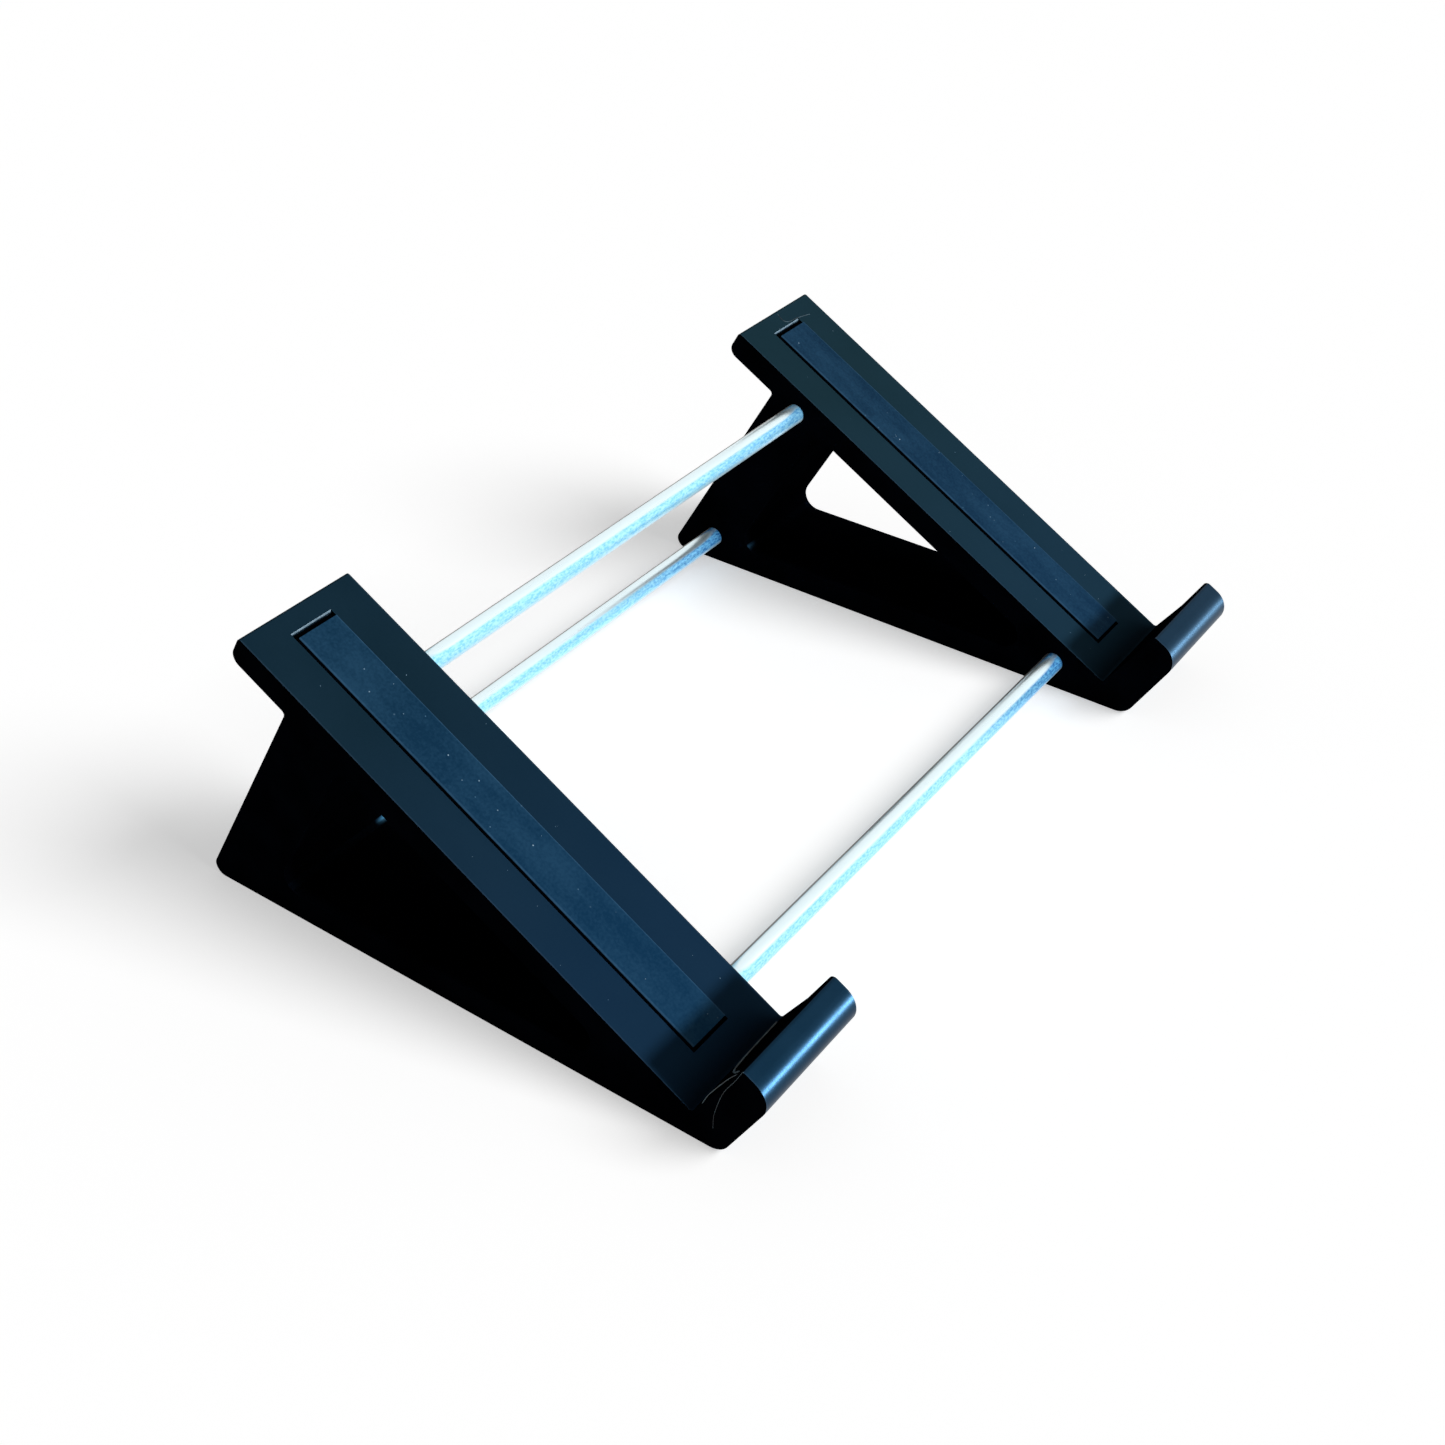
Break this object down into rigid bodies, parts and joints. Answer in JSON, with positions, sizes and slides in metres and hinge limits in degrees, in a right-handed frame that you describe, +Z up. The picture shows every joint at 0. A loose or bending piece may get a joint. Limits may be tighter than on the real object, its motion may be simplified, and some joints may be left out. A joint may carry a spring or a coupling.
{
  "type": "synthesizer stand",
  "caption": "Low desktop stand for a compact synthesizer: sloping black side brackets with front lips, rubber grip strips and metal cross rods.",
  "frame": {"origin": "on the floor, under the middle of the whole stand", "axes": "+X to the player's right along the rods, +Y from the lips towards the high end, +Z up"},
  "size_m": [0.2, 0.1454, 0.0694],
  "materials": {
    "bracket_plastic": "satin black, printed",
    "grip_rubber": "blue-black, slightly dusty",
    "rod_metal": "bright, drawn along its length"
  },
  "bodies": {
    "root": {"side_left": "bracket_plastic", "side_right": "bracket_plastic", "grip_strip_left": "grip_rubber", "grip_strip_right": "grip_rubber", "rod_rear_upper": "rod_metal", "rod_rear_lower": "rod_metal", "rod_front": "rod_metal"}
  },
  "joints": []
}
